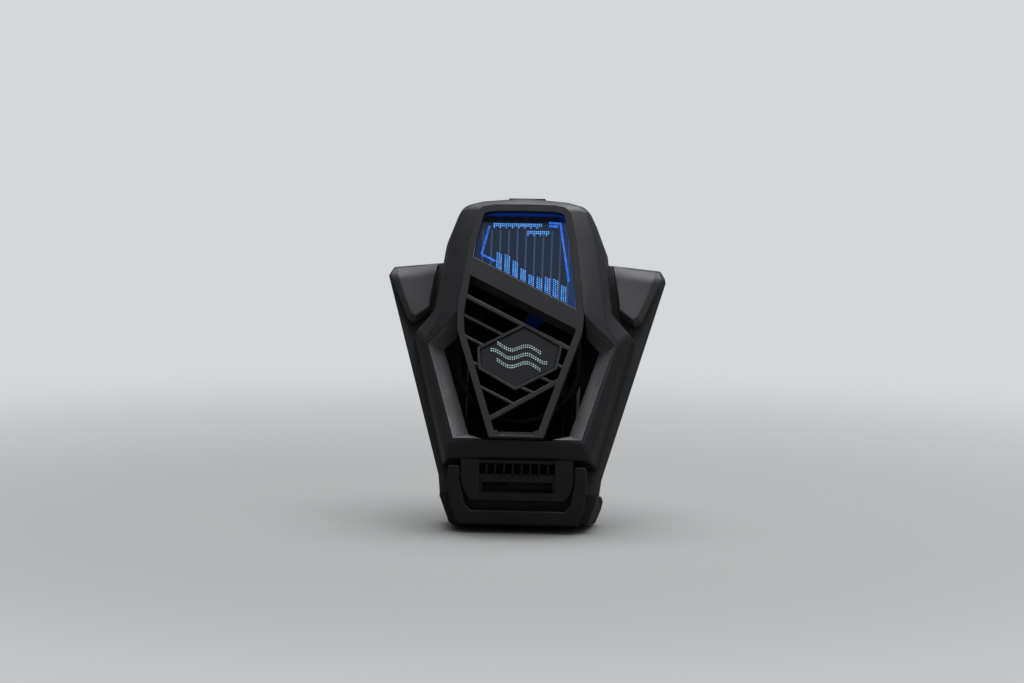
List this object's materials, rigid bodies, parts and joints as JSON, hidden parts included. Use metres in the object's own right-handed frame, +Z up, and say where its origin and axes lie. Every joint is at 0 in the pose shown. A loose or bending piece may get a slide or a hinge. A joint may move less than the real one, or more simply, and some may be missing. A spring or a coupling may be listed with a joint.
{
  "type": "phone cooling fan",
  "caption": "Clamp-on phone cooler: fan and Peltier cold plate in a faceted dark housing with a lit window, grille, side buttons, sprung upper jaw and fold-out kickstand.",
  "frame": {"origin": "middle of the thermal pad's face, where it touches the phone's back", "axes": "+X to the right seen from the front, +Y into the phone, +Z up across the phone, so the grille faces -Y"},
  "size_m": [0.0822, 0.0368, 0.097],
  "materials": {
    "housing_plastic": "fine moulded texture",
    "cover_plastic": "fine moulded texture",
    "grille_plastic": "fine moulded texture",
    "lens_clear": "clear, polished",
    "lit_panel": "clear with lit lines",
    "lamps": "small lamps on a strip",
    "badge_plastic": "fine satin",
    "circuit_board": "lacquered board",
    "chips": "moulded chips",
    "satin_bezel": "satin gunmetal paint",
    "button_paint": "satin metallic paint",
    "switch_plastic": "moulded",
    "grip_rubber": "soft moulded rubber",
    "spring_steel": "drawn wire",
    "release_plastic": "moulded",
    "plug_shell": "drawn shell",
    "pin_steel": "turned",
    "screw_steel": "black zinc",
    "fan_plastic": "moulded",
    "magnet": "sintered ring",
    "bronze": "sintered bush",
    "lamination": "stacked plates",
    "copper": "enamelled wire",
    "fin_metal": "extruded",
    "plate_metal": "machined",
    "module_ceramic": "white plates",
    "pellet": "sintered blocks",
    "thermal_gel": "soft silicone pad"
  },
  "bodies": {
    "housing": {"rear_housing": "housing_plastic", "front_cover": "cover_plastic", "grille": "grille_plastic", "window_lens": "lens_clear", "light_panel": "lit_panel", "led_strip": "lamps", "badge_plate": "badge_plastic", "badge_board": "circuit_board", "left_bezel": "satin_bezel", "right_bezel": "satin_bezel", "left_switch": "switch_plastic", "right_switch": "switch_plastic", "left_clamp_spring": "spring_steel", "right_clamp_spring": "spring_steel", "release_spring": "spring_steel", "lower_jaw": "housing_plastic", "lower_jaw_pad": "grip_rubber", "jaw_cover": "housing_plastic", "usb_plug": "plug_shell", "usb_socket": "plug_shell", "socket_tongue": "chips", "port_board": "circuit_board", "vent_panel": "cover_plastic", "kickstand_pins": "pin_steel", "fan_frame": "fan_plastic", "fan_bearing": "bronze", "stator_core": "lamination", "stator_coils": "copper", "heatsink": "fin_metal", "heatsink_screws": "pin_steel", "peltier_hot_side": "module_ceramic", "peltier_pellets": "pellet", "peltier_cold_side": "module_ceramic", "cold_plate": "plate_metal", "thermal_pad": "thermal_gel", "control_board": "circuit_board", "board_parts": "chips", "housing_screws": "screw_steel", "jaw_screws": "screw_steel", "rear_pads": "grip_rubber"},
    "rotor": {"fan_rotor": "fan_plastic", "fan_shaft": "pin_steel", "rotor_magnet": "magnet"},
    "kickstand": {"kickstand": "cover_plastic"},
    "left_button": {"left_button": "button_paint"},
    "right_button": {"right_button": "button_paint"},
    "clamp": {"upper_jaw": "housing_plastic", "upper_jaw_pad": "grip_rubber"},
    "release_button": {"release_button": "release_plastic"}
  },
  "joints": [
    {"name": "fan_spin", "type": "hinge", "parent": "housing", "child": "rotor", "pos_m": [0, -0.0173, -0.003], "axis": [0, 1, 0], "continuous": true},
    {"name": "kickstand_fold", "type": "hinge", "parent": "housing", "child": "kickstand", "pos_m": [0, -0.01372, -0.0352], "axis": [-1, 0, 0], "range_deg": [0, 75]},
    {"name": "left_button_press", "type": "slide", "parent": "housing", "child": "left_button", "axis": [0, 1, 0], "range_m": [0, 0.0008], "stiffness_N_per_m": 1200, "springref_m": -0.0003},
    {"name": "right_button_press", "type": "slide", "parent": "housing", "child": "right_button", "axis": [0, 1, 0], "range_m": [0, 0.0008], "stiffness_N_per_m": 1200, "springref_m": -0.0003},
    {"name": "clamp_slide", "type": "slide", "parent": "housing", "child": "clamp", "axis": [0, 0, 1], "range_m": [0, 0.006], "stiffness_N_per_m": 600, "springref_m": -0.006, "deforming": ["left_clamp_spring", "right_clamp_spring"]},
    {"name": "release_press", "type": "slide", "parent": "housing", "child": "release_button", "axis": [0, 0, -1], "range_m": [0, 0.0012], "stiffness_N_per_m": 600, "springref_m": -0.0005, "deforming": ["release_spring"]}
  ]
}
